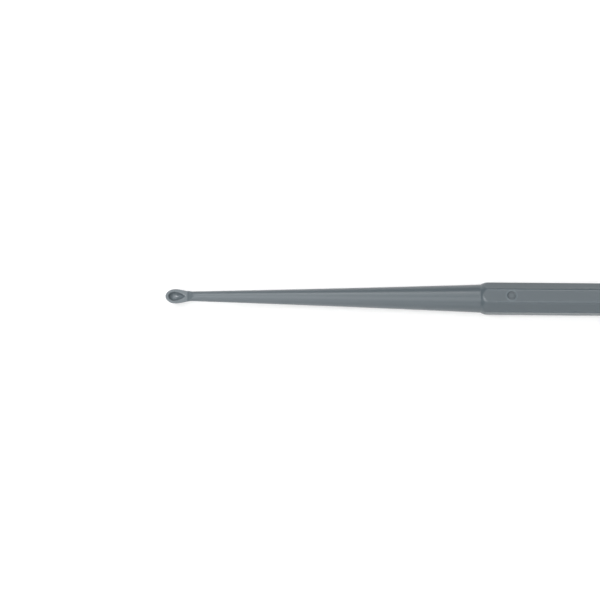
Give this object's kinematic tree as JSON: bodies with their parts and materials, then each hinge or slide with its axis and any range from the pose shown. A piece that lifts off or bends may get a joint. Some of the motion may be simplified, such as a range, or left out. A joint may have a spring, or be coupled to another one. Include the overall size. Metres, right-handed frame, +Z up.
{
  "type": "ear curette",
  "caption": "Slim one-piece plastic curette: a small open scoop on a tapered round shaft, with a straight octagonal handle domed at both ends.",
  "frame": {"origin": "on the surface the tool lies on, under the middle of its length", "axes": "+X from the scoop's tip towards the handle's end, +Z up, the way the open scoop faces"},
  "size_m": [0.15, 0.005, 0.005],
  "materials": {
    "grey_plastic": "satin, as moulded"
  },
  "bodies": {
    "root": {"scoop": "grey_plastic", "shaft": "grey_plastic", "handle": "grey_plastic"}
  },
  "joints": []
}
